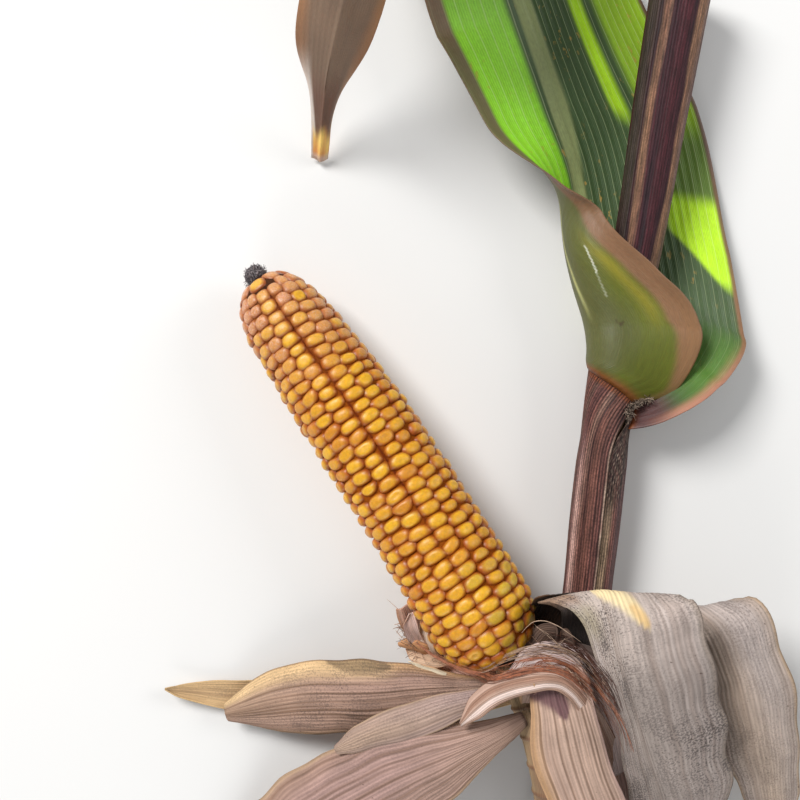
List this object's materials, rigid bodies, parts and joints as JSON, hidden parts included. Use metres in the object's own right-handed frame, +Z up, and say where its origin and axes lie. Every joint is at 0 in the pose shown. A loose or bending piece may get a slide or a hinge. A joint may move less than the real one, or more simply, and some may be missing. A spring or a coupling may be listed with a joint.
{
  "type": "cut length of maize stalk with a ripe ear",
  "caption": "Cut maize stalk lying down, with a ripe yellow ear on its shank, peeled-back dry husks, and one broad leaf that folds round the stalk and arches over.",
  "frame": {"origin": "middle of the whole cutting's footprint, on the ground that it lies on", "axes": "+Z up, and +Y along the stalk from its foot to its top"},
  "size_m": [0.265, 0.444, 0.0976],
  "materials": {
    "kernels": "satin yellow kernels on a woody cob",
    "silk": "dry and dark",
    "stalk": "smooth brown rind",
    "sheath": "brownish purple, finely ribbed",
    "leaf": "green, ribbed with pale veins",
    "dry_leaf": "dry and brown",
    "husk": "dry, papery, finely ribbed"
  },
  "bodies": {
    "root": {"stalk": "stalk", "leaf_sheath": "sheath", "upper_sheath": "sheath", "leaf_base": "leaf", "leaf_blade_rise": "leaf", "leaf_blade_arch": "leaf", "leaf_blade_tip": "dry_leaf", "shank": "stalk", "ear": "kernels", "silk_tuft": "silk", "husk_left": "husk", "husk_front": "husk", "husk_fold": "husk", "husk_inner": "husk", "husk_right": "husk", "husk_right_back": "husk", "husk_left_back": "husk", "husk_shred": "husk"}
  },
  "joints": []
}
